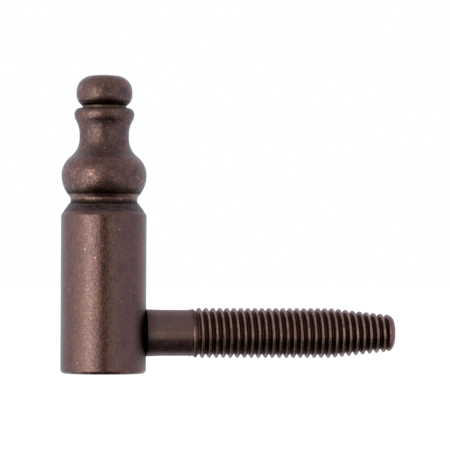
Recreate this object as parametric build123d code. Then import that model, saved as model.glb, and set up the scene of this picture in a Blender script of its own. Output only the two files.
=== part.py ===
from build123d import *
import math
import os

# Upper half of a drill-in door hinge: a bored barrel that drops over the pin of the lower half,
# a turned head pressed into its top, and a screw shank out of its side.
# Millimetres. The barrel's axis is Z, the shank points along +X, and the origin is the centre of the bore's mouth.

# barrel
barrel_diameter = 15.0
barrel_height = 29.9
cone_height = 2.15
cone_inset = 1.5
cone_edge_radius = 0.9
base_edge_radius = 0.7
seam_chamfer = 0.15

# bore for the pin of the lower half
pin_diameter = 8.0
pin_clearance = 0.05
mouth_chamfer = 0.4

# head
plug_diameter = 9.0
plug_length = 6.0
plug_chamfer = 0.25
cove_inset = 0.17
cove_radius = 1.2
cove_rise = 0.45
bulb_inset = 0.04
bulb_under_radius = 5.5
bulb_over_radius = 4.15
waist_diameter = 8.67
waist_under_radius = 4.1
waist_straight = 0.75
waist_over_radius = 4.9
collar_diameter = 10.52
collar_under_radius = 2.4
collar_edge_radius = 1.0
groove_diameter = 7.76
groove_gap = 0.44
button_diameter = 9.82
button_under_radius = 2.4
button_band = 0.5
button_over_radius = 2.8
crown_rise = 0.14

# shank
shank_height = 7.1
spigot_diameter = 6.0
shoulder_diameter = 8.3
neck_diameter = 8.1
neck_flare = 2.9
neck_length = 7.8
shank_length = 44.4
thread_diameter = 8.82
thread_pitch = 1.25
thread_depth = 0.65
thread_root_flat = 0.15
thread_flank_angle = 30.0
thread_step = 0.35
taper_length = 11.4
taper_angle = 6.2
nose_length = 1.9
nose_radius = 1.45

bore_radius = pin_diameter / 2 + pin_clearance
barrel_radius = barrel_diameter / 2
cone_top_radius = barrel_radius - cone_inset


def arc(centre, start, end):
    """A circular arc of less than half a turn between two points of a circle in the profile's plane."""
    middle = (start - centre) + (end - centre)
    middle = centre + middle.normalized() * (start - centre).length
    return ThreePointArc(start, middle, end)


def s_curve(convex_radius, convex_reach, hollow_radius, hollow_reach):
    """Height between the widest point of a swell and the narrowest point of the hollow that runs into it."""
    across = (hollow_reach + hollow_radius) - (convex_reach - convex_radius)
    return math.sqrt((convex_radius + hollow_radius) ** 2 - across ** 2)


def meeting(swell, swell_radius, hollow):
    """Point at which a swell and a hollow touch."""
    return swell + (hollow - swell).normalized() * swell_radius


def make_barrel():
    cap = Pos(0, 0, barrel_height - cone_height) * Cone(
        barrel_radius, cone_top_radius, cone_height, align=(Align.CENTER, Align.CENTER, Align.MIN)
    )
    trunk = Cylinder(barrel_radius, barrel_height - cone_height, align=(Align.CENTER, Align.CENTER, Align.MIN))
    body = trunk + cap
    rings = body.edges().filter_by(GeomType.CIRCLE).sort_by(Axis.Z)
    body = fillet(rings[1], cone_edge_radius)
    base = body.edges().filter_by(GeomType.CIRCLE).sort_by(Axis.Z)[0]
    body = fillet(base, base_edge_radius)
    top = body.edges().filter_by(GeomType.CIRCLE).sort_by(Axis.Z)[-1]
    body = chamfer(top, seam_chamfer)
    body -= Cylinder(bore_radius, barrel_height, align=(Align.CENTER, Align.CENTER, Align.MIN))
    body -= Pos(0, 0, barrel_height) * Cylinder(
        plug_diameter / 2, plug_length, align=(Align.CENTER, Align.CENTER, Align.MAX)
    )
    mouth = body.edges().filter_by(GeomType.CIRCLE).group_by(Axis.Z)[0].sort_by(SortBy.RADIUS)[0]
    body = chamfer(mouth, mouth_chamfer)
    cross_hole = Pos(0, 0, shank_height) * Rot(0, 90, 0) * Cylinder(
        spigot_diameter / 2, barrel_diameter, align=(Align.CENTER, Align.CENTER, Align.MIN)
    )
    return body - cross_hole


def make_finial():
    seat = barrel_height
    cove_reach = cone_top_radius - cove_inset
    cove = Vector(cove_reach + cove_radius, seat + cove_rise)
    bulb_reach = barrel_radius - bulb_inset
    bulb_z = cove.Y + s_curve(bulb_under_radius, bulb_reach, cove_radius, cove_reach)
    bulb_under = Vector(bulb_reach - bulb_under_radius, bulb_z)
    bulb_over = Vector(bulb_reach - bulb_over_radius, bulb_z)
    waist_reach = waist_diameter / 2
    waist_z = bulb_z + s_curve(bulb_over_radius, bulb_reach, waist_under_radius, waist_reach)
    waist_under = Vector(waist_reach + waist_under_radius, waist_z)
    waist_top = waist_z + waist_straight
    waist_over = Vector(waist_reach + waist_over_radius, waist_top)
    collar_reach = collar_diameter / 2
    collar_z = waist_top + s_curve(collar_under_radius, collar_reach, waist_over_radius, waist_reach)
    collar_under = Vector(collar_reach - collar_under_radius, collar_z)
    collar_edge = Vector(collar_reach - collar_edge_radius, collar_z)
    collar_top = collar_z + collar_edge_radius
    groove_reach = groove_diameter / 2
    button_reach = button_diameter / 2
    under_inset = groove_reach - (button_reach - button_under_radius)
    under_drop = math.sqrt(button_under_radius ** 2 - under_inset ** 2)
    under_z = collar_top + groove_gap
    button_under = Vector(button_reach - button_under_radius, under_z + under_drop)
    button_over = Vector(button_reach - button_over_radius, button_under.Y + button_band)
    crown_edge = Vector(button_over.X, button_over.Y + button_over_radius)
    crown = Vector(0, crown_edge.Y + crown_rise)
    crown_radius = (crown_edge.X ** 2 + crown_rise ** 2) / (2 * crown_rise)
    crown_centre = Vector(0, crown.Y - crown_radius)

    cove_drop = math.sqrt(cove_radius ** 2 - cove_rise ** 2)
    foot = Vector(cove.X - cove_drop, seat)
    cove_to_bulb = meeting(bulb_under, bulb_under_radius, cove)
    bulb_widest = Vector(bulb_reach, bulb_z)
    bulb_to_waist = meeting(bulb_over, bulb_over_radius, waist_under)
    waist_to_collar = meeting(collar_under, collar_under_radius, waist_over)
    plug_reach = plug_diameter / 2
    plug_end = seat - plug_length

    with BuildSketch(Plane.XZ) as section:
        with BuildLine():
            Line((0, plug_end), (plug_reach - plug_chamfer, plug_end))
            Line((plug_reach - plug_chamfer, plug_end), (plug_reach, plug_end + plug_chamfer))
            Line((plug_reach, plug_end + plug_chamfer), (plug_reach, seat))
            Line((plug_reach, seat), foot)
            arc(cove, foot, cove_to_bulb)
            arc(bulb_under, cove_to_bulb, bulb_widest)
            arc(bulb_over, bulb_widest, bulb_to_waist)
            arc(waist_under, bulb_to_waist, Vector(waist_reach, waist_z))
            Line((waist_reach, waist_z), (waist_reach, waist_top))
            arc(waist_over, Vector(waist_reach, waist_top), waist_to_collar)
            arc(collar_under, waist_to_collar, Vector(collar_reach, collar_z))
            arc(collar_edge, Vector(collar_reach, collar_z), Vector(collar_edge.X, collar_top))
            Line((collar_edge.X, collar_top), (groove_reach, collar_top))
            Line((groove_reach, collar_top), (groove_reach, under_z))
            arc(button_under, Vector(groove_reach, under_z), Vector(button_reach, button_under.Y))
            Line((button_reach, button_under.Y), (button_reach, button_over.Y))
            arc(button_over, Vector(button_reach, button_over.Y), crown_edge)
            arc(crown_centre, crown_edge, crown)
            Line(crown, (0, plug_end))
        make_face()
    return revolve(section.sketch, Axis.Z)


# The shank is shaped along its own Z axis, measured from the barrel's axis, and turned to +X at the end.
tip = barrel_radius + shank_length
thread_start = barrel_radius + neck_length
taper_start = tip - taper_length


def crest_radius(along):
    """Thread crest radius, which falls away over the tapered end."""
    return thread_diameter / 2 - max(0.0, along - taper_start) * math.tan(math.radians(taper_angle))


def groove_corner(turn, side, outer):
    """A corner of the thread groove's section, which starts shallow and is full depth after most of a turn."""
    along = thread_start + thread_pitch * turn
    depth = thread_depth * min(1.0, 0.1 + turn / 0.8)
    crest = crest_radius(along)
    rise = depth + 0.2 * thread_depth if outer else 0.0
    half = thread_root_flat / 2 + rise * math.tan(math.radians(thread_flank_angle))
    reach = crest - depth + rise
    bearing = math.tau * turn
    return (reach * math.cos(bearing), reach * math.sin(bearing), along + side * half)


def groove_turn(first, last):
    """One turn of the thread groove as a solid to cut with."""
    steps = 16
    turns = [first + (last - first) * i / steps for i in range(steps + 1)]
    corners = ((-1, False), (1, False), (1, True), (-1, True))
    rails = [Edge.make_spline([groove_corner(t, side, outer) for t in turns], parameters=turns)
             for side, outer in corners]
    sides = [Face.make_surface_from_curves(rails[i], rails[(i + 1) % 4]) for i in range(4)]
    ends = [Face(Wire.make_polygon([groove_corner(t, side, outer) for side, outer in corners]))
            for t in (first, last)]
    return Solid(Shell(sides + ends))


def make_shank():
    neck_reach = neck_diameter / 2
    thread_reach = thread_diameter / 2
    nose_start = tip - nose_length
    nose_reach = crest_radius(nose_start)
    with BuildSketch(Plane.XZ) as section:
        with BuildLine():
            outline = Polyline(
                (0, 0),
                (spigot_diameter / 2, 0),
                (spigot_diameter / 2, barrel_radius),
                (shoulder_diameter / 2, barrel_radius),
                (neck_reach, barrel_radius + neck_flare),
                (neck_reach, thread_start - thread_step),
                (thread_reach, thread_start),
                (thread_reach, taper_start),
                (nose_reach, nose_start),
                (nose_reach - 0.1 * nose_length, tip - 0.12 * nose_length),
                (0, tip),
                (0, 0),
            )
        make_face()
        corner = section.vertices().sort_by(Axis.Y)[-2]
        fillet(corner, nose_radius)
    blank = revolve(section.sketch, Axis.Z)
    turn_count = math.ceil((tip - thread_start) / thread_pitch)
    grooves = [groove_turn(i, i + 1) for i in range(turn_count)]
    shank = blank.cut(*grooves)
    shank = Pos(0, 0, shank_height) * Rot(0, 90, 0) * shank
    return shank - Cylinder(bore_radius, barrel_height, align=(Align.CENTER, Align.CENTER, Align.MIN))


os.makedirs("parts", exist_ok=True)
export_step(make_barrel(), "parts/barrel.step")
export_step(make_finial(), "parts/finial.step")
export_step(make_shank(), "parts/threaded_shank.step")
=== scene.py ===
import math
import bpy
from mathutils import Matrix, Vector


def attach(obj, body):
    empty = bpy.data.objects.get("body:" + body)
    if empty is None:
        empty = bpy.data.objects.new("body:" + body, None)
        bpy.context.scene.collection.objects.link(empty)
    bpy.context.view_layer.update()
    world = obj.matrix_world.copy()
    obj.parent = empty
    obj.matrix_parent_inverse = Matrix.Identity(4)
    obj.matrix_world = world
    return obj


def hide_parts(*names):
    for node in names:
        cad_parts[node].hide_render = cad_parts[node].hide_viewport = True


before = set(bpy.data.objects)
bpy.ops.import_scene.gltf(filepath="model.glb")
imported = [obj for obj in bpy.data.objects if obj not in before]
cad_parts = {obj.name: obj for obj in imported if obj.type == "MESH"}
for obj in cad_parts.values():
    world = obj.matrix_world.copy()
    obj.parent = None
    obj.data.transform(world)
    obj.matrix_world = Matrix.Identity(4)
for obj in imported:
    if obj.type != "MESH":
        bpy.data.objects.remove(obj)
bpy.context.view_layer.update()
mm = 0.001
mergeGap = 0.0002  # in mm, the points of a turned piece that count as one
print("frame loaded:", sorted(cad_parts))


# a turned piece is drawn as half of its section, point by point, and spun;
# the last number of each run is its count of points

def arcRun(centre, radius, fromAngle, toAngle, count):
    points = []  # points along an arc, the first one left out
    for i in range(1, count + 1):
        angle = math.radians(fromAngle + (toAngle - fromAngle) * i / count)
        points.append((centre[0] + radius * math.cos(angle), centre[1] + radius * math.sin(angle)))
    return points


def straightRun(start, end, count):
    return [(start[0] + (end[0] - start[0]) * i / count, start[1] + (end[1] - start[1]) * i / count)
            for i in range(1, count + 1)]


def drawProfile(name, points):
    bpy.ops.object.select_all(action="DESELECT")
    bpy.ops.mesh.primitive_plane_add(size=mm)
    piece = bpy.context.object
    piece.name = name
    piece.data.name = name
    bpy.ops.object.mode_set(mode="EDIT")
    bpy.ops.mesh.select_all(action="SELECT")
    bpy.ops.mesh.merge(type="CENTER")
    bpy.ops.transform.translate(value=(points[0][0] * mm, 0, points[0][1] * mm))
    for a, b in zip(points, points[1:]):
        step = ((b[0] - a[0]) * mm, 0, (b[1] - a[1]) * mm)
        bpy.ops.mesh.extrude_vertices_move(TRANSFORM_OT_translate={"value": step})
    return piece


def spinProfile(steps):
    bpy.ops.mesh.select_all(action="SELECT")
    bpy.ops.mesh.spin(steps=steps, angle=math.tau, center=(0, 0, 0), axis=(0, 0, 1))
    bpy.ops.mesh.select_all(action="SELECT")
    bpy.ops.mesh.remove_doubles(threshold=mergeGap * mm)
    bpy.ops.mesh.normals_make_consistent(inside=False)


def selectOnly(piece):
    bpy.ops.object.select_all(action="DESELECT")
    piece.select_set(True)
    bpy.context.view_layer.objects.active = piece


def smoothPiece(piece, angle):
    bpy.ops.object.mode_set(mode="OBJECT")
    selectOnly(piece)
    bpy.ops.object.shade_smooth_by_angle(angle=math.radians(angle))


# barrel

barrel = {
    "radius": 7.5, "height": 29.9,
    "baseRound": 0.7, "coneHeight": 2.15, "coneTop": 6.0, "coneRound": 0.9,
    "seamChamfer": 0.15, "seatRadius": 4.5, "seatDepth": 6.0,
    "boreRadius": 4.05, "mouthChamfer": 0.4,
    "crossRadius": 3.0, "crossHeight": 7.1, "crossSteps": 96,
    "steps": 192, "smoothAngle": 24,
}


def barrelProfile():
    b = barrel
    lean = math.degrees(math.atan2(b["coneHeight"], b["radius"] - b["coneTop"]))  # the cone's rise
    bend = 90 - lean
    coneFoot = b["height"] - b["coneHeight"]
    setBack = b["coneRound"] * math.tan(math.radians(bend / 2))
    roundCentre = (b["radius"] - b["coneRound"], coneFoot - setBack)
    points = [(b["boreRadius"] + b["mouthChamfer"], 0)]
    points += straightRun(points[-1], (b["radius"] - b["baseRound"], 0), 4)
    points += arcRun((b["radius"] - b["baseRound"], b["baseRound"]), b["baseRound"], -90, 0, 10)
    points += straightRun(points[-1], (b["radius"], roundCentre[1]), 26)
    points += arcRun(roundCentre, b["coneRound"], 0, bend, 8)
    chamferFoot = b["seamChamfer"] * (b["radius"] - b["coneTop"]) / b["coneHeight"]
    points += straightRun(points[-1], (b["coneTop"] + chamferFoot, b["height"] - b["seamChamfer"]), 6)
    points += straightRun(points[-1], (b["coneTop"] - b["seamChamfer"], b["height"]), 2)
    points += straightRun(points[-1], (b["seatRadius"], b["height"]), 2)
    points += straightRun(points[-1], (b["seatRadius"], b["height"] - b["seatDepth"]), 4)
    points += [(b["boreRadius"], b["height"] - b["seatDepth"])]
    points += straightRun(points[-1], (b["boreRadius"], b["mouthChamfer"]), 20)
    points += [points[0]]
    return points


def makeBarrel():
    b = barrel
    piece = drawProfile("barrelSleeve", barrelProfile())
    spinProfile(b["steps"])
    bpy.ops.object.mode_set(mode="OBJECT")
    bpy.ops.object.select_all(action="DESELECT")
    bpy.ops.mesh.primitive_cylinder_add(
        vertices=b["crossSteps"], radius=b["crossRadius"] * mm, depth=b["radius"] * mm,
        location=(b["radius"] * mm, 0, b["crossHeight"] * mm), rotation=(0, math.pi / 2, 0))
    drill = bpy.context.object
    hole = piece.modifiers.new("crossHole", "BOOLEAN")
    hole.operation = "DIFFERENCE"
    hole.solver = "EXACT"
    hole.object = drill
    selectOnly(piece)
    bpy.ops.object.modifier_apply(modifier="crossHole")
    bpy.data.objects.remove(drill)
    smoothPiece(piece, b["smoothAngle"])
    return piece


barrelPiece = makeBarrel()
print("barrel modelled:", len(barrelPiece.data.polygons), "faces")


# finial

finial = {
    "seat": 29.9, "plugRadius": 4.5, "plugLength": 6.0, "plugChamfer": 0.25,
    "coveReach": 5.83, "coveRadius": 1.2, "coveRise": 0.45,
    "bulbReach": 7.46, "bulbUnder": 5.5, "bulbOver": 4.15,
    "waistReach": 4.335, "waistUnder": 4.1, "waistStraight": 0.75, "waistOver": 4.9,
    "collarReach": 5.26, "collarUnder": 2.4, "collarEdge": 1.0,
    "grooveReach": 3.88, "grooveGap": 0.44,
    "buttonReach": 4.91, "buttonUnder": 2.4, "buttonBand": 0.5, "buttonOver": 2.8, "crownRise": 0.14,
    "steps": 192, "smoothAngle": 30,
}


def rise(swellRadius, swellReach, hollowRadius, hollowReach):
    # height from the widest place of a swell to the narrowest of the hollow that it runs into
    across = (hollowReach + hollowRadius) - (swellReach - swellRadius)
    return math.sqrt((swellRadius + hollowRadius) ** 2 - across ** 2)


def bearing(start, end):
    return math.degrees(math.atan2(end[1] - start[1], end[0] - start[0]))


def finialProfile():
    f = finial
    coveZ = f["seat"] + f["coveRise"]
    bulbZ = coveZ + rise(f["bulbUnder"], f["bulbReach"], f["coveRadius"], f["coveReach"])
    waistZ = bulbZ + rise(f["bulbOver"], f["bulbReach"], f["waistUnder"], f["waistReach"])
    waistTop = waistZ + f["waistStraight"]
    collarZ = waistTop + rise(f["collarUnder"], f["collarReach"], f["waistOver"], f["waistReach"])
    collarTop = collarZ + f["collarEdge"]
    underZ = collarTop + f["grooveGap"]
    buttonX = f["buttonReach"] - f["buttonUnder"]
    buttonZ = underZ + math.sqrt(f["buttonUnder"] ** 2 - (f["grooveReach"] - buttonX) ** 2)
    overX = f["buttonReach"] - f["buttonOver"]
    overZ = buttonZ + f["buttonBand"]
    crownZ = overZ + f["buttonOver"]
    cove = (f["coveReach"] + f["coveRadius"], coveZ)
    bulbLow = (f["bulbReach"] - f["bulbUnder"], bulbZ)
    bulbHigh = (f["bulbReach"] - f["bulbOver"], bulbZ)
    waistLow = (f["waistReach"] + f["waistUnder"], waistZ)
    waistHigh = (f["waistReach"] + f["waistOver"], waistTop)
    collarLow = (f["collarReach"] - f["collarUnder"], collarZ)
    collarHigh = (f["collarReach"] - f["collarEdge"], collarZ)
    button = (buttonX, buttonZ)
    foot = 180 + math.degrees(math.asin(f["coveRise"] / f["coveRadius"]))
    end = f["seat"] - f["plugLength"]
    points = [(0, end)]
    points += straightRun(points[-1], (f["plugRadius"] - f["plugChamfer"], end), 4)
    points += [(f["plugRadius"], end + f["plugChamfer"])]
    points += straightRun(points[-1], (f["plugRadius"], f["seat"]), 4)
    points += [(cove[0] + f["coveRadius"] * math.cos(math.radians(foot)), f["seat"])]
    points += arcRun(cove, f["coveRadius"], foot, 180 + bearing(bulbLow, cove), 8)
    points += arcRun(bulbLow, f["bulbUnder"], bearing(bulbLow, cove), 0, 16)
    points += arcRun(bulbHigh, f["bulbOver"], 0, bearing(bulbHigh, waistLow), 16)
    points += arcRun(waistLow, f["waistUnder"], 180 + bearing(bulbHigh, waistLow), 180, 12)
    points += straightRun(points[-1], (f["waistReach"], waistTop), 2)
    points += arcRun(waistHigh, f["waistOver"], 180, 180 + bearing(collarLow, waistHigh), 10)
    points += arcRun(collarLow, f["collarUnder"], bearing(collarLow, waistHigh), 0, 8)
    points += arcRun(collarHigh, f["collarEdge"], 0, 90, 10)
    points += straightRun(points[-1], (f["grooveReach"], collarTop), 2)
    points += [(f["grooveReach"], underZ)]
    points += arcRun(button, f["buttonUnder"], bearing(button, (f["grooveReach"], underZ)), 0, 12)
    points += [(f["buttonReach"], overZ)]
    points += arcRun((overX, overZ), f["buttonOver"], 0, 90, 16)
    crownRadius = (overX ** 2 + f["crownRise"] ** 2) / (2 * f["crownRise"])
    crownCentre = (0, crownZ + f["crownRise"] - crownRadius)
    points += arcRun(crownCentre, crownRadius, bearing(crownCentre, (overX, crownZ)), 90, 6)
    return points


def makeFinial():
    piece = drawProfile("turnedFinial", finialProfile())
    spinProfile(finial["steps"])
    smoothPiece(piece, finial["smoothAngle"])
    return piece


finialPiece = makeFinial()
print("finial modelled:", len(finialPiece.data.polygons), "faces")


# threaded shank, shaped along Z from the barrel's axis and turned to X at the end

shank = {
    "height": 7.1, "spigotRadius": 3.0, "spigotLength": 4.0, "endRings": (0.8, 0.75, 0.66, 0.5),
    "shoulderAt": 7.5, "shoulderRadius": 4.15, "neckRadius": 4.05, "flare": 2.9,
    "threadAt": 14.95, "runIn": 1.65, "cutInAfter": 0.3, "helixAt": 15.6, "runOut": (50.3, 50.9),
    "crestRadius": 4.41, "pitch": 1.25, "depth": 0.65, "rootFlat": 0.15, "flankAngle": 30,
    "crestFlat": 0.42, "crestSoft": 0.03, "rootSoft": 0.02,  # shares of the pitch
    "edgeDepths": (0.06, 0.16), "flankDepth": 0.52, "rootDepth": 0.95,  # shares of the depth
    "taperAt": 40.5, "taperAngle": 6.2,
    "noseAt": 50.0, "noseRound": 1.45, "tip": 51.9, "noseCorner": (0.12, 0.1),  # shares of the nose's length
    "stepsPerTurn": 96, "spareTurns": 2, "smoothAngle": 40, "mergeGap": 0.0005, "cutGap": 0.0001,
}


def shankReach(along):
    s = shank  # radius of the blank before the thread is rolled in
    if along < s["shoulderAt"] + s["flare"]:
        share = (along - s["shoulderAt"]) / s["flare"]
        return s["shoulderRadius"] + (s["neckRadius"] - s["shoulderRadius"]) * max(0, share)
    if along < s["threadAt"]:
        return s["neckRadius"]
    if along < s["threadAt"] + s["runIn"]:
        share = (along - s["threadAt"]) / s["runIn"]
        return s["neckRadius"] + (s["crestRadius"] - s["neckRadius"]) * share
    return s["crestRadius"] - max(0, along - s["taperAt"]) * math.tan(math.radians(s["taperAngle"]))


def noseReach(along):
    s = shank  # the rounded end
    cornerReach = shankReach(s["noseAt"])
    length = s["tip"] - s["noseAt"]
    edge = (s["noseAt"], cornerReach)
    corner = (s["tip"] - s["noseCorner"][0] * length, cornerReach - s["noseCorner"][1] * length)
    apex = (s["tip"], 0)
    if along >= s["tip"]:
        return 0
    side = Vector((edge[0] - corner[0], edge[1] - corner[1])).normalized()
    face = Vector((apex[0] - corner[0], apex[1] - corner[1])).normalized()
    half = side.angle(face) / 2
    setBack = s["noseRound"] / math.tan(half)
    middle = Vector(corner) + (side + face).normalized() * s["noseRound"] / math.sin(half)
    sideEnd = Vector(corner) + side * setBack
    faceEnd = Vector(corner) + face * setBack
    if along <= sideEnd.x:
        if along <= edge[0]:
            return math.inf  # the taper alone counts there
        return edge[1] + (corner[1] - edge[1]) * (along - edge[0]) / (corner[0] - edge[0])
    if along <= faceEnd.x:
        return middle.y + math.sqrt(max(0, s["noseRound"] ** 2 - (along - middle.x) ** 2))
    return corner[1] + (apex[1] - corner[1]) * (along - corner[0]) / (apex[0] - corner[0])


def threadShare(along):
    s = shank  # how much of the thread's depth is cut, at its two ends
    cutIn = (along - s["threadAt"] - s["cutInAfter"]) / (s["runIn"] - s["cutInAfter"])
    cutOut = (s["runOut"][1] - along) / (s["runOut"][1] - s["runOut"][0])
    return max(0.0, min(1.0, cutIn, cutOut))


def grooveSection():
    s = shank  # one pitch of the thread: place along the pitch, and depth from 0 to 1
    slope = math.tan(math.radians(s["flankAngle"]))
    root = s["rootFlat"] / 2 / s["pitch"]
    mouth = root + s["depth"] * slope / s["pitch"]
    half = [(0.5, 0), (s["crestFlat"], 0), (mouth + s["crestSoft"], 0), (mouth, s["edgeDepths"][0]),
            (mouth - s["crestSoft"], s["edgeDepths"][1]), ((mouth + root) / 2, s["flankDepth"]),
            (root + s["rootSoft"], s["rootDepth"])]
    return [(-place, deep) for place, deep in half] + [(0, 1)] + half[::-1]


def shrinkFace(share, along):
    # a new ring inside the face's edge
    bpy.ops.mesh.extrude_region_move(TRANSFORM_OT_translate={"value": (0, 0, 0)})
    bpy.ops.transform.resize(value=(share, share, 1), center_override=(0, 0, along * mm))


def makeShank():
    s = shank
    turnsBefore = math.ceil((s["helixAt"] - s["shoulderAt"]) / s["pitch"]) + s["spareTurns"]
    turns = turnsBefore + math.ceil((s["tip"] - s["helixAt"]) / s["pitch"]) + s["spareTurns"]
    firstAt = s["helixAt"] - turnsBefore * s["pitch"]
    points = [(s["crestRadius"] - deep * s["depth"], firstAt + place * s["pitch"])
              for place, deep in grooveSection()]
    piece = drawProfile("threadedShank", points)
    bpy.ops.object.mode_set(mode="OBJECT")
    helix = piece.modifiers.new("rolledThread", "SCREW")
    helix.axis = "Z"
    helix.angle = math.tau
    helix.screw_offset = s["pitch"] * mm
    helix.iterations = turns
    helix.steps = s["stepsPerTurn"]
    helix.render_steps = s["stepsPerTurn"]
    helix.use_merge_vertices = False
    bpy.ops.object.modifier_apply(modifier="rolledThread")
    for v in piece.data.vertices:  # the endless thread takes the blank's outline
        along = v.co.z / mm
        reach = math.hypot(v.co.x, v.co.y) / mm
        angle = math.atan2(v.co.y, v.co.x)
        deep = (s["crestRadius"] - reach) * threadShare(along)
        along = min(along, s["tip"])
        newReach = max(0.0, min(shankReach(along) - deep, noseReach(along)))
        v.co = (newReach * math.cos(angle) * mm, newReach * math.sin(angle) * mm, along * mm)
    bpy.ops.object.mode_set(mode="EDIT")
    bpy.ops.mesh.select_all(action="SELECT")
    bpy.ops.mesh.remove_doubles(threshold=s["mergeGap"] * mm)
    bpy.ops.mesh.normals_make_consistent(inside=False)
    bpy.ops.mesh.bisect(plane_co=(0, 0, s["shoulderAt"] * mm), plane_no=(0, 0, 1), use_fill=True,
                        clear_inner=True, threshold=s["cutGap"] * mm)
    shrinkFace(s["spigotRadius"] / s["shoulderRadius"], s["shoulderAt"])
    spigotStep = (0, 0, -s["spigotLength"] / 2 * mm)
    for half in range(2):
        bpy.ops.mesh.extrude_region_move(TRANSFORM_OT_translate={"value": spigotStep})
    for share in s["endRings"]:
        shrinkFace(share, s["shoulderAt"] - s["spigotLength"])
    bpy.ops.object.mode_set(mode="OBJECT")
    piece.rotation_euler = (0, math.pi / 2, 0)
    piece.location = (0, 0, s["height"] * mm)
    selectOnly(piece)
    bpy.ops.object.transform_apply(location=True, rotation=True, scale=True)
    endBefore = s["shoulderAt"] - s["spigotLength"] * 3 / 4
    for v in piece.data.vertices:
        if v.co.x < endBefore * mm:  # the spigot's end follows the bore
            v.co.x = math.sqrt((barrel["boreRadius"] * mm) ** 2 - v.co.y ** 2)
    bpy.ops.object.mode_set(mode="EDIT")
    bpy.ops.mesh.select_all(action="SELECT")
    bpy.ops.mesh.normals_make_consistent(inside=False)
    smoothPiece(piece, s["smoothAngle"])
    return piece


shankPiece = makeShank()
print("shank modelled:", len(shankPiece.data.polygons), "faces")


# finish: dark bronze patina under a thin lacquer, mottled, with worn copper, painted shade and painted
# highlights

patina = {
    "shade": (0.125, 0.046, 0.032), "speck": (0.85, 0.66, 0.56), "pit": (0.040, 0.017, 0.012),
    # the last colour on the next line is a near-black painted shade for the shank faces hidden in the gap at
    # the barrel
    "bareAndPaintedHighlight": (0.66, 0.48, 0.38), "scuff": (0.52, 0.36, 0.30), "hiddenShade": (0.004, 0.002, 0.001),
    # scale, detail and roughness of the noises
    "cloudNoise": (150, 3, 0.55), "blotchNoise": (800, 4, 0.6), "grainNoise": (2700, 3, 0.6),
    "peelNoise": (1900, 3, 0.6), "dentNoise": (4200, 2, 0.5), "fleckNoise": (5200, 1, 0.5),
    "scuffNoise": (1500, 5, 0.65), "scuffSquash": 2.4,
    # noise levels over which a mark fades in, and how strong it is
    "dentPatch": (0.55, 0.68), "fleckPatch": (0.54, 0.66), "scuffPatch": (0.56, 0.68),
    "cloudTone": 0.12, "blotchTone": 0.2, "grainTone": (0.26, 0.54), "fleckTone": 0.2,
    "dentShade": 0.4, "scuffShade": 0.3,
    "pitScale": 1250, "pitSpot": (0.12, 0.22), "pitShade": 0.7, "pitShare": 0.80, "speckShare": 0.975,
    "relief": 0.035, "blotchRelief": 0.9, "peelRelief": 4.0, "pitRelief": -0.9, "dentRelief": -0.7,
    "roughness": (0.52, 0.16), "pitRoughness": 0.25, "dustRoughness": 0.2,
    "lacquer": 0.9, "lacquerIor": 1.7, "lacquerRoughness": 0.09,
}
middling = (0.3, 0.7)  # what most of a noise lies between


def addNode(tree, kind, **values):
    made = tree.nodes.new(kind)
    count = len(tree.nodes)
    made.location = (count % 12 * 220 - 2800, 900 - count // 12 * 260)  # rows of twelve
    for key, value in values.items():
        setattr(made, key, value)
    return made


def maths(tree, operation, first, second=None, third=None, clamp=False):
    made = addNode(tree, "ShaderNodeMath", operation=operation, use_clamp=clamp)
    for socket, value in zip(made.inputs, (first, second, third)):
        if isinstance(value, (int, float)):
            socket.default_value = value
        elif value is not None:
            tree.links.new(value, socket)
    return made.outputs[0]


def times(tree, first, second):
    return maths(tree, "MULTIPLY", first, second)


def chain(tree, operation, first, *others):
    for other in others:
        first = maths(tree, operation, first, other)
    return first


def spread(tree, value, source, target=(0.0, 1.0)):
    made = addNode(tree, "ShaderNodeMapRange", clamp=True)
    tree.links.new(value, made.inputs["Value"])
    for name, number in zip(("From Min", "From Max", "To Min", "To Max"), (*source, *target)):
        made.inputs[name].default_value = number
    return made.outputs["Result"]


def fade(tree, value, source, target=(0.0, 1.0)):
    return spread(tree, value, (source[0] * mm, source[1] * mm), target)


def belt(tree, value, source, soft):
    rises = fade(tree, value, (source[0] - soft, source[0] + soft))
    falls = fade(tree, value, (source[1] - soft, source[1] + soft), (1, 0))
    return maths(tree, "MINIMUM", rises, falls)


def tint(tree, share, under, over):
    made = addNode(tree, "ShaderNodeMix", data_type="RGBA")
    tree.links.new(share, made.inputs["Factor"])
    for name, value in (("A", under), ("B", over)):
        socket = [i for i in made.inputs if i.name == name and i.type == "RGBA"][0]
        if isinstance(value, tuple):
            socket.default_value = value + (1,)
        else:
            tree.links.new(value, socket)
    return [o for o in made.outputs if o.type == "RGBA"][0]


def noise(tree, place, values):
    made = addNode(tree, "ShaderNodeTexNoise")
    tree.links.new(place, made.inputs["Vector"])
    for name, value in zip(("Scale", "Detail", "Roughness"), values):
        made.inputs[name].default_value = value
    return made.outputs["Fac"]


def flatten(tree, place, share):
    made = addNode(tree, "ShaderNodeMapping")  # draws a pattern out around the upright axis
    made.inputs["Scale"].default_value = (1, 1, share)
    tree.links.new(place, made.inputs["Vector"])
    return made.outputs["Vector"]


def axes(tree, place):
    made = addNode(tree, "ShaderNodeSeparateXYZ")
    tree.links.new(place, made.inputs["Vector"])
    return made.outputs["X"], made.outputs["Y"], made.outputs["Z"]


def distance(tree, first, second):
    squares = [maths(tree, "POWER", side, 2) for side in (first, second)]
    return maths(tree, "SQRT", maths(tree, "ADD", *squares))


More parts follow.
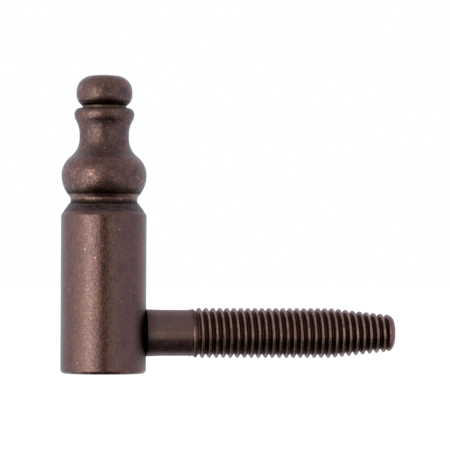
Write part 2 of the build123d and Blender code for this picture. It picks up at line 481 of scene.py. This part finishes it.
def pitMasks(tree, place):
    p = patina
    cells = addNode(tree, "ShaderNodeTexVoronoi", feature="F1")
    tree.links.new(place, cells.inputs["Vector"])
    cells.inputs["Scale"].default_value = p["pitScale"]
    chance = addNode(tree, "ShaderNodeSeparateColor")
    tree.links.new(cells.outputs["Color"], chance.inputs["Color"])
    spot = spread(tree, cells.outputs["Distance"], p["pitSpot"], (p["pitShade"], 0))
    pits = times(tree, spot, maths(tree, "GREATER_THAN", chance.outputs["Red"], p["pitShare"]))
    specks = times(tree, spot, maths(tree, "GREATER_THAN", chance.outputs["Green"], p["speckShare"]))
    return pits, specks


def addBump(tree, height, strength, depth, socket):
    made = addNode(tree, "ShaderNodeBump")
    made.inputs["Strength"].default_value = strength
    made.inputs["Distance"].default_value = depth * mm
    tree.links.new(height, made.inputs["Height"])
    tree.links.new(made.outputs["Normal"], socket)


def patinaMaterial(name, finish, makeWear):
    p = patina
    coarse = finish["coarse"]
    material = bpy.data.materials.new(name)
    material.use_nodes = True
    tree = material.node_tree
    shader = tree.nodes["Principled BSDF"]
    place = addNode(tree, "ShaderNodeTexCoord").outputs["Object"]
    cloud, blotch, grain, peel, dented, flecked = [
        noise(tree, place, p[kind + "Noise"])
        for kind in ("cloud", "blotch", "grain", "peel", "dent", "fleck")]
    dents = spread(tree, dented, p["dentPatch"])
    flecks = spread(tree, flecked, p["fleckPatch"], (0, p["fleckTone"] * coarse))
    scuffed = noise(tree, flatten(tree, place, p["scuffSquash"]), p["scuffNoise"])
    scuffs = spread(tree, scuffed, p["scuffPatch"], (0, p["scuffShade"] * coarse))
    pits, specks = pitMasks(tree, place)
    wear = makeWear(tree, place, {"cloud": cloud, "blotch": blotch, "grain": grain})

    # colour, from the patina up to the grime and painted shade
    clouds = spread(tree, cloud, middling, (-p["cloudTone"], p["cloudTone"]))
    blotches = spread(tree, blotch, middling, (-p["blotchTone"], p["blotchTone"]))
    grains = spread(tree, grain, middling, p["grainTone"])
    tone = chain(tree, "ADD", clouds, blotches, grains, flecks)
    # the wear tone also darkens the barrel's cone and the bulb's upward slope as painted shade, and lightens
    # the band under the bulb as painted bounce light
    tone = maths(tree, "ADD", tone, wear["wearAndPaintedLight"], clamp=True)
    dentShade = times(tree, dents, p["dentShade"] * coarse)
    if "handled" in wear:
        dentShade = times(tree, dentShade, wear["handled"])
        scuffs = times(tree, scuffs, wear["handled"])
    colour = tint(tree, tone, p["shade"], finish["copper"])
    colour = tint(tree, maths(tree, "MAXIMUM", pits, dentShade), colour, p["pit"])
    colour = tint(tree, specks, colour, p["speck"])
    colour = tint(tree, scuffs, colour, p["scuff"])
    colour = tint(tree, wear["dust"], colour, finish["dust"])
    # the bare copper colour is also laid on the shank's neck as a painted highlight
    colour = tint(tree, wear["bareAndPaintedHighlight"], colour, p["bareAndPaintedHighlight"])
    # grime here is partly real dirt and partly painted shade in creases, under the bulb and button, and round
    # the shank
    colour = tint(tree, wear["grimeAndShade"], colour, finish["grimeAndShade"])
    # near-black painted shade on the shank's shoulder face and spigot, hidden in the gap at the barrel
    if "hiddenShade" in wear:
        colour = tint(tree, wear["hiddenShade"], colour, p["hiddenShade"])
    tree.links.new(colour, shader.inputs["Base Color"])

    # gloss of the metal, and the lacquer over it where it is neither dirty nor under painted shade
    rough = spread(tree, grain, middling, p["roughness"])
    rough = maths(tree, "MULTIPLY_ADD", pits, p["pitRoughness"], rough)
    rough = maths(tree, "MULTIPLY_ADD", wear["dust"], p["dustRoughness"], rough, clamp=True)
    tree.links.new(rough, shader.inputs["Roughness"])
    shader.inputs["Metallic"].default_value = 1.0
    dirtAndShade = maths(tree, "MAXIMUM", wear["grimeAndShade"], wear["dust"])
    clean = maths(tree, "MULTIPLY_ADD", dirtAndShade, -p["lacquer"], p["lacquer"])
    tree.links.new(clean, shader.inputs["Coat Weight"])
    shader.inputs["Coat IOR"].default_value = p["lacquerIor"]
    shader.inputs["Coat Roughness"].default_value = p["lacquerRoughness"]

    # fine relief, more of it in the lacquer than in the metal
    height = times(tree, peel, p["peelRelief"])
    for mark, amount in ((blotch, p["blotchRelief"]), (pits, p["pitRelief"]), (dents, p["dentRelief"])):
        height = maths(tree, "MULTIPLY_ADD", mark, amount, height)
    if "lines" in wear:
        height = maths(tree, "ADD", height, wear["lines"])
    addBump(tree, height, finish["metalBump"], p["relief"], shader.inputs["Normal"])
    addBump(tree, height, finish["filmBump"], p["relief"], shader.inputs["Coat Normal"])
    return material


# where each piece is worn, bare, grimy and dusty, and where shade and highlights are painted on: heights and
# distances in mm, patches as noise levels

barrelFinish = {
    "coarse": 1.0, "metalBump": 0.25, "filmBump": 0.5, "ragged": 0.9,
    "copper": (0.34, 0.150, 0.102), "dust": (0.185, 0.137, 0.142), "grimeAndShade": (0.045, 0.022, 0.016),
    "lowEdge": (0.15, 0.75), "lowEdgeWorn": 0.9, "lowEdgeBare": 0.3, "lowEdgePatch": (0.45, 0.6),
    # the cone's colour is darkened as painted shade for its upward-facing slope, and the streaky grime over
    # all of the cone is partly painted shade too
    "cone": (28.2, 28.45), "coneShade": -0.6, "streakNoise": (800, 4, 0.6), "streakSquash": 5,
    "coneStreakShade": (0.75, 0.2), "coneStreakShadePatch": (0.4, 0.52), "coneDust": 0.78, "coneDustPatch": (0.5, 0.58),
    "seam": (29.95, 30.15), "seamGrime": 0.85,
    # painted shadow of the shank on the barrel round it, reaching lower below it
    "shankShadowDrop": 0.5, "shankShadow": (3.5, 6.3), "shankShadowFrom": (5.3, 6.6), "shankShadowAmount": 0.95,
    "haze": (4.2, 6.6), "hazeFrom": (4.4, 5.8), "hazeDust": 0.8,
}


def barrelWear(tree, place, noises):
    b = barrelFinish
    blotch = noises["blotch"]
    outward, deep, along = axes(tree, place)
    ragged = maths(tree, "MULTIPLY_ADD", blotch, b["ragged"] * mm, along)  # height with an uneven edge
    lowEdge = times(tree, fade(tree, along, b["lowEdge"], (b["lowEdgeWorn"], 0)),
                    spread(tree, blotch, b["lowEdgePatch"]))
    # painted shade on the upward-facing cone, with streaky grime that is partly painted shade too
    cone = fade(tree, along, b["cone"])
    streaks = noise(tree, flatten(tree, place, b["streakSquash"]), b["streakNoise"])
    coneStreakShade = times(tree, cone, spread(tree, streaks, b["coneStreakShadePatch"], b["coneStreakShade"]))
    coneDust = times(tree, cone, spread(tree, streaks, b["coneDustPatch"], (0, b["coneDust"])))
    seam = fade(tree, ragged, b["seam"], (0, b["seamGrime"]))
    # painted shadow of the shank on the barrel, hanging lower than the shank
    shankLift = maths(tree, "SUBTRACT", along, (shank["height"] - b["shankShadowDrop"]) * mm)
    fromShank = distance(tree, deep, shankLift)
    shankShadow = times(tree, fade(tree, fromShank, b["shankShadow"], (b["shankShadowAmount"], 0)),
                    fade(tree, outward, b["shankShadowFrom"]))
    haze = times(tree, fade(tree, fromShank, b["haze"], (b["hazeDust"], 0)),
                 fade(tree, outward, b["hazeFrom"]))
    return {
        "wearAndPaintedLight": maths(tree, "MULTIPLY_ADD", cone, b["coneShade"], lowEdge),
        "bareAndPaintedHighlight": times(tree, lowEdge, b["lowEdgeBare"]),
        "grimeAndShade": chain(tree, "MAXIMUM", seam, shankShadow, coneStreakShade),
        "dust": maths(tree, "MAXIMUM", coneDust, haze),
    }


finialFinish = {
    "coarse": 1.6, "metalBump": 0.4, "filmBump": 0.9, "ragged": 0.8,
    "copper": (0.35, 0.147, 0.097), "dust": (0.205, 0.142, 0.102), "grimeAndShade": (0.045, 0.019, 0.008),
    "mottle": 0.3, "glintPatch": (0.48, 0.6), "glintGrain": (0.56, 0.66), "glintBare": 0.8,
    "wearAndPaintedLightBelts": {  # heights, softness, amount
        # cove lightens the band under the bulb as painted bounce light; foot darkens the bulb's upward slope
        # as painted shade
        "cove": ((30.5, 31.33), 0.05, 0.2), "foot": ((37.9, 40.3), 0.4, -0.45),
        "waist": ((40.3, 44.8), 0.4, -0.2), "collar": ((45.1, 46.1), 0.25, 0.1)},
    # painted shade in the crease under the bulb and on the button's underside by the groove
    "paintedShadeBelts": {
        "creaseShade": ((31.36, 31.5), 0.04, 0.95), "groove": ((46.75, 47.8), 0.12, 0.85)},
    "dustBelts": {  # heights, softness, noise, its patches, amounts
        "lowBulb": ((31.6, 33.6), 0.4, "cloud", (0.5, 0.62), (0, 0.6)),
        "waist": ((40.2, 45.0), 0.5, "blotch", (0.46, 0.62), (0.1, 0.7)),
        "collar": ((45.0, 46.1), 0.2, "blotch", (0.4, 0.6), (0.15, 0.4)),
        "neck": ((46.12, 46.75), 0.05, "blotch", (0.4, 0.6), (0.75, 0.85)),
        "lowButton": ((47.8, 49.3), 0.25, "blotch", (0.45, 0.6), (0, 0.6))},
    "chips": (29.9, 30.55), "chipSoft": 0.06, "chipPatch": (0.57, 0.66), "chipBare": 0.7,
    "seam": (30.6, 30.95), "seamGrime": 0.85,
    # painted shade on the bulb's underside
    "underBulb": (32.0, 33.1), "underBulbFrom": (31.33, 31.38), "underBulbShade": 0.95,
    "turning": (38.2, 39.6), "turningSoft": 0.2, "turningPitch": 0.42, "turningRelief": 0.5,
    "calmBulb": (35.6, 39.6), "calmBulbSoft": 0.5, "calmTop": (50.4, 51.4), "calm": 0.85,
}


def finialWear(tree, place, noises):
    f = finialFinish
    blotch = noises["blotch"]
    grain = noises["grain"]
    along = axes(tree, place)[2]
    ragged = maths(tree, "MULTIPLY_ADD", blotch, f["ragged"] * mm, along)  # height with an uneven edge
    mottle = spread(tree, blotch, middling, (-f["mottle"], f["mottle"]))
    wearAndPaintedLight = [times(tree, belt(tree, along, heights, soft), amount)
            for heights, soft, amount in f["wearAndPaintedLightBelts"].values()]
    # painted shade in the crease and under the button
    grimeAndShade = [times(tree, belt(tree, along, heights, soft), amount)
             for heights, soft, amount in f["paintedShadeBelts"].values()]
    grimeAndShade.append(fade(tree, ragged, f["seam"], (f["seamGrime"], 0)))
    # painted shade under the bulb
    grimeAndShade.append(times(tree, fade(tree, ragged, f["underBulb"], (f["underBulbShade"], 0)),
                       fade(tree, along, f["underBulbFrom"])))
    dust = [times(tree, belt(tree, along, heights, soft), spread(tree, noises[kind], patch, amounts))
            for heights, soft, kind, patch, amounts in f["dustBelts"].values()]
    chips = times(tree, belt(tree, along, f["chips"], f["chipSoft"]),
                  spread(tree, grain, f["chipPatch"], (0, f["chipBare"])))
    calm = maths(tree, "MAXIMUM", belt(tree, along, f["calmBulb"], f["calmBulbSoft"]),
                 fade(tree, along, f["calmTop"]))  # where fingers have left fewer marks
    handled = maths(tree, "MULTIPLY_ADD", calm, -f["calm"], 1.0)
    glints = chain(tree, "MULTIPLY", handled, spread(tree, blotch, f["glintPatch"]),
                   spread(tree, grain, f["glintGrain"], (0, f["glintBare"])))
    turned = maths(tree, "SINE", times(tree, along, math.tau / (f["turningPitch"] * mm)))
    lines = times(tree, times(tree, turned, f["turningRelief"]),
                  belt(tree, along, f["turning"], f["turningSoft"]))
    return {
        "wearAndPaintedLight": chain(tree, "ADD", mottle, *wearAndPaintedLight),
        "bareAndPaintedHighlight": maths(tree, "MAXIMUM", chips, glints),
        "grimeAndShade": chain(tree, "MAXIMUM", *grimeAndShade),
        "dust": chain(tree, "MAXIMUM", *dust),
        "lines": lines,
        "handled": handled,
    }


shankFinish = {
    "coarse": 0.3, "metalBump": 0.12, "filmBump": 0.22,
    "copper": (0.34, 0.150, 0.102), "dust": (0.23, 0.178, 0.190), "grimeAndShade": (0.045, 0.019, 0.008),
    "plainWorn": 0.34, "helixFrom": (1.4, 2.2), "crest": (0.02, 0.12), "crestRagged": 0.45,
    "crestPatch": (0.36, 0.6), "crestBare": (0.25, 1.0),
    "flank": (0.06, 0.34), "flankSoft": 0.05, "flankPatch": (0.42, 0.56), "flankWorn": 0.9,
    "groove": (0.16, 0.52), "grooveGrime": (0.05, 0.88),
    "nosePatch": (0.42, 0.6), "noseWorn": (0.1, 0.8), "noseBare": 0.2,
    "shoulder": (0.1, 2.0), "shoulderShade": 0.6, "hiddenShade": (0.01, 0.03), "hiddenShadeAmount": 0.98,
    "runIn": (0.4, 1.7), "runInSoft": 0.3, "runInShade": 0.45,
    "neck": (0.3, 0.6), "neckSoft": 0.3, "neckPatch": (0.4, 0.6), "neckDust": (0.25, 0.5),
    # the next line lays a painted highlight along the neck
    "neckHighlight": (-1.1, 0.4), "neckHighlightSoft": 0.15, "neckHighlightPatch": (0.35, 0.6), "neckHighlightBare": (0.08, 0.26),
}


def shankWear(tree, place, noises):
    s = shank
    f = shankFinish
    blotch = noises["blotch"]
    grain = noises["grain"]
    along, deep, height = axes(tree, place)
    lift = maths(tree, "SUBTRACT", height, s["height"] * mm)
    past = maths(tree, "MAXIMUM", maths(tree, "SUBTRACT", along, s["taperAt"] * mm), 0)
    crestFall = times(tree, past, math.tan(math.radians(s["taperAngle"])))
    crestReach = maths(tree, "SUBTRACT", s["crestRadius"] * mm, crestFall)
    below = maths(tree, "SUBTRACT", crestReach, distance(tree, deep, lift))  # depth under the crests
    uneven = maths(tree, "SUBTRACT", grain, sum(middling) / 2)
    ragged = maths(tree, "MULTIPLY_ADD", uneven, f["crestRagged"] * mm, below)
    helixFrom = [s["threadAt"] + step for step in f["helixFrom"]]
    onHelix = times(tree, fade(tree, along, helixFrom), fade(tree, along, s["runOut"], (1, 0)))
    crest = times(tree, fade(tree, ragged, f["crest"], (1, 0)), onHelix)
    flank = times(tree, belt(tree, below, f["flank"], f["flankSoft"]),
                  spread(tree, blotch, f["flankPatch"], (0, f["flankWorn"])))
    groove = times(tree, fade(tree, below, f["groove"], f["grooveGrime"]), onHelix)
    nose = times(tree, fade(tree, along, s["runOut"]), spread(tree, blotch, f["nosePatch"], f["noseWorn"]))
    # painted shade on the neck next to the shoulder, where it meets the barrel
    shoulder = fade(tree, along, [s["shoulderAt"] + step for step in f["shoulder"]], (f["shoulderShade"], 0))
    # near-black painted shade on the faces hidden in the gap at the barrel
    hiddenShade = fade(tree, along, [s["shoulderAt"] + step for step in f["hiddenShade"]], (f["hiddenShadeAmount"], 0))
    # painted shade on the thread's run-in ring, which faces the light
    runIn = belt(tree, along, [s["threadAt"] + step for step in f["runIn"]], f["runInSoft"])
    neckEnds = (s["shoulderAt"] + f["neck"][0], s["threadAt"] + f["neck"][1])
    neck = belt(tree, along, neckEnds, f["neckSoft"])
    # painted highlight along the neck at the height of its axis
    neckHighlightLine = times(tree, belt(tree, lift, f["neckHighlight"], f["neckHighlightSoft"]), neck)  # a line along the neck
    neckHighlight = times(tree, neckHighlightLine, spread(tree, grain, f["neckHighlightPatch"], f["neckHighlightBare"]))
    crestBare = times(tree, crest, spread(tree, blotch, f["crestPatch"], f["crestBare"]))
    wearAndPaintedLight = chain(tree, "MAXIMUM", crest, nose, f["plainWorn"])
    return {
        "wearAndPaintedLight": maths(tree, "ADD", wearAndPaintedLight, times(tree, flank, onHelix)),
        "bareAndPaintedHighlight": chain(tree, "MAXIMUM", crestBare, times(tree, nose, f["noseBare"]), neckHighlight),
        "grimeAndShade": chain(tree, "MAXIMUM", groove, shoulder, hiddenShade, times(tree, runIn, f["runInShade"])),
        "dust": times(tree, neck, spread(tree, blotch, f["neckPatch"], f["neckDust"])),
        "hiddenShade": hiddenShade,
    }


for piece, label, finish, makeWear in (
        (barrelPiece, "barrel", barrelFinish, barrelWear),
        (finialPiece, "finial", finialFinish, finialWear),
        (shankPiece, "threaded_shank", shankFinish, shankWear)):
    piece.data.materials.clear()
    piece.data.materials.append(patinaMaterial(piece.name + "Patina", finish, makeWear))
    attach(piece, "root")
    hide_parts(label)
print("pieces placed")


# studio

studio = {
    "azimuth": -7.5, "elevation": -1.1, "distance": 456.4, "lensPixels": 2600,
    "aimRight": 21.27, "aimHeight": 26.1, "roll": 0.25,
    "framePixels": 450, "sensor": 36, "clipFrom": 0.01,
    "floorSize": 6, "floorShade": 0.3, "floorRoughness": 0.9, "floorGlow": 0.93,
}


def makeCamera():
    s = studio
    a = math.radians(s["azimuth"])
    e = math.radians(s["elevation"])
    back = Vector((math.sin(a) * math.cos(e), -math.cos(a) * math.cos(e), math.sin(e)))
    aim = Vector((math.cos(a) * s["aimRight"], math.sin(a) * s["aimRight"], s["aimHeight"])) * mm
    bpy.ops.object.camera_add(location=aim + back * s["distance"] * mm)
    camera = bpy.context.object
    camera.rotation_euler = (-back).to_track_quat("-Z", "Y").to_euler()
    camera.rotation_euler.rotate_axis("Z", math.radians(s["roll"]))
    camera.data.sensor_width = s["sensor"]
    camera.data.lens = s["sensor"] * s["lensPixels"] / s["framePixels"]
    camera.data.clip_start = s["clipFrom"]
    bpy.context.scene.camera = camera


def makeFloor():
    s = studio
    bpy.ops.object.select_all(action="DESELECT")
    bpy.ops.mesh.primitive_plane_add(size=s["floorSize"], location=(0, 0, 0))
    floor = bpy.context.object
    floor.name = "floor"
    material = bpy.data.materials.new("paleFloor")
    material.use_nodes = True
    shader = material.node_tree.nodes["Principled BSDF"]
    shader.inputs["Base Color"].default_value = (s["floorShade"],) * 3 + (1,)
    shader.inputs["Roughness"].default_value = s["floorRoughness"]
    shader.inputs["Emission Color"].default_value = (1, 1, 1, 1)
    shader.inputs["Emission Strength"].default_value = s["floorGlow"]
    floor.data.materials.append(material)
    floor.visible_glossy = False  # the metal mirrors the world alone


light = {  # degrees round the piece from the camera's first place, level, and how blue and how green
    "round": ((-180, 0.46, 1.1), (-160, 0.50, 1.15), (-135, 0.57, 1.15), (-105, 0.56, 1.12),
              (-90, 0.66, 1.1), (-72, 0.87, 1.14, 1.05), (-60, 0.94, 1.12, 1.05), (-50, 1.2, 1.1, 1.05),
              (-44, 1.9, 1.1, 1.04), (-34, 2.2, 1.1, 1.04), (-28, 1.65, 1.08, 1.03),
              (-22, 1.38, 1.05, 1.02), (-12.5, 1.2, 0.9, 0.95), (-5, 0.06, 0.7, 0.85), (0, 0.0), (11, 0.0),
              (17, 0.59, 0.8, 0.9), (24, 0.57), (30, 0.56, 1.1), (42, 0.42, 1.25), (95, 0.38, 1.3),
              (120, 0.48, 1.2), (150, 0.53, 1.15), (165, 0.50, 1.1), (180, 0.46, 1.1)),
    "below": ((-180, 0.42, 1.1), (-115, 0.35, 1.1), (-90, 0.2), (-62, 0.05), (-40, 0.03), (40, 0.03),
              (62, 0.05), (90, 0.2), (115, 0.35, 1.1), (180, 0.42, 1.1)),
    "above": ((-180, 0.42, 1.1), (-120, 0.32, 1.15), (-45, 0.33, 1.1), (0, 0.36, 1.05), (30, 0.35, 1.1),
              (120, 0.32, 1.15), (180, 0.42, 1.1)),
    # where the light from below ends and the light from above begins, as the sine of the elevation
    "lowEdge": ((-180, -0.5), (-100, -0.75), (-64, -0.70), (-38, -0.42), (0, -0.45), (40, -0.42), (100, -0.7),
                (180, -0.5)),
    "highEdge": ((-180, 0.9), (-100, 0.75), (-64, 0.48), (-38, 0.33), (-20, 0.32), (0, 0.3), (16, 0.22),
                 (45, 0.25), (75, 0.55), (100, 0.8), (180, 0.9)),
    "lowSoft": 0.13, "highSoft": 0.22,
    "nadir": (0.006, 0.006, 0.006), "nadirEdge": (-0.97, -0.86), "strength": 5.0,
}


def angleRamp(tree, share, stops):
    made = addNode(tree, "ShaderNodeValToRGB")
    made.color_ramp.interpolation = "LINEAR"
    tree.links.new(share, made.inputs["Fac"])
    stopsMade = made.color_ramp.elements
    while len(stopsMade) > 1:
        stopsMade.remove(stopsMade[0])
    for i, (angle, level, *tone) in enumerate(stops):
        blue, green = (*tone, 1, 1)[:2]
        stop = stopsMade[0] if i == 0 else stopsMade.new(angle / 360 + 0.5)
        stop.position = angle / 360 + 0.5
        stop.color = [level * part / light["strength"] for part in (1, green, blue)] + [1]
    return made.outputs["Color"]


def edgeDistance(tree, share, height, stops):
    # a ramp holds 0 to 1, so the sine is kept there as a share of -1 to 1
    edge = angleRamp(tree, share, [(angle, (level + 1) * light["strength"] / 2) for angle, level in stops])
    return maths(tree, "SUBTRACT", height, maths(tree, "MULTIPLY_ADD", edge, 2.0, -1.0))


def makeWorld():
    world = bpy.data.worlds.new("studio")
    bpy.context.scene.world = world
    world.use_nodes = True
    tree = world.node_tree
    background = tree.nodes["Background"]
    turned = addNode(tree, "ShaderNodeMapping")
    turned.inputs["Rotation"].default_value = (0, 0, math.radians(-studio["azimuth"]))
    tree.links.new(addNode(tree, "ShaderNodeTexCoord").outputs["Generated"], turned.inputs["Vector"])
    right, ahead, height = axes(tree, turned.outputs["Vector"])
    angle = maths(tree, "ARCTAN2", right, times(tree, ahead, -1.0))
    share = maths(tree, "MULTIPLY_ADD", angle, 1 / math.tau, 0.5)
    middle, low, high = [angleRamp(tree, share, light[part]) for part in ("round", "below", "above")]
    lowFrom = edgeDistance(tree, share, height, light["lowEdge"])
    highFrom = edgeDistance(tree, share, height, light["highEdge"])
    level = tint(tree, spread(tree, lowFrom, (-light["lowSoft"], light["lowSoft"])), low, middle)
    level = tint(tree, spread(tree, highFrom, (-light["highSoft"], light["highSoft"])), level, high)
    level = tint(tree, spread(tree, height, light["nadirEdge"]), light["nadir"], level)
    seen = addNode(tree, "ShaderNodeLightPath").outputs["Is Camera Ray"]
    level = tint(tree, seen, level, (1 / light["strength"],) * 3)  # plain white behind the piece
    tree.links.new(level, background.inputs["Color"])
    background.inputs["Strength"].default_value = light["strength"]


makeCamera()
makeFloor()
makeWorld()
bpy.context.scene.view_settings.view_transform = "Standard"
print("studio set")
